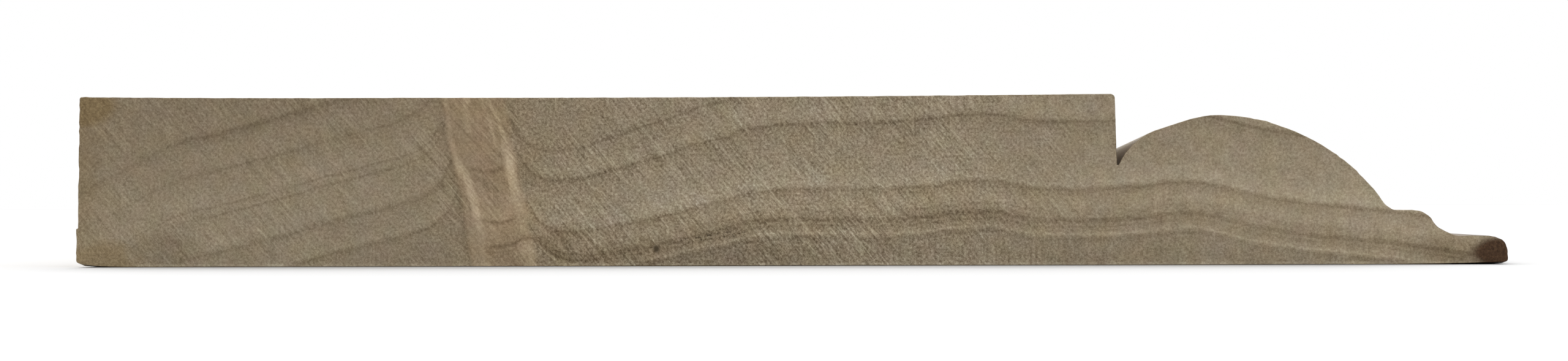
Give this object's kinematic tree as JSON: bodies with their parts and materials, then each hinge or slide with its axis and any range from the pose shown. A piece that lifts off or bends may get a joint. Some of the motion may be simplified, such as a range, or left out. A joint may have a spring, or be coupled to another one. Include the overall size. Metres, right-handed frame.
{
  "type": "skirting board",
  "caption": "Straight length of solid wooden skirting board: flat face, deep quirk, ovolo, narrow shelf and a thin rounded lip, cut square at both ends.",
  "frame": {"origin": "middle of the flat wall face, which is the underside as the board lies on its back", "axes": "+X across the board from the square floor edge to the moulded top edge, +Y along the board, +Z out of the wall face towards the room"},
  "size_m": [0.169, 1, 0.02],
  "materials": {
    "wood": "bare planed hardwood with sawn ends, unpainted"
  },
  "bodies": {
    "root": {"skirting_board": "wood"}
  },
  "joints": []
}
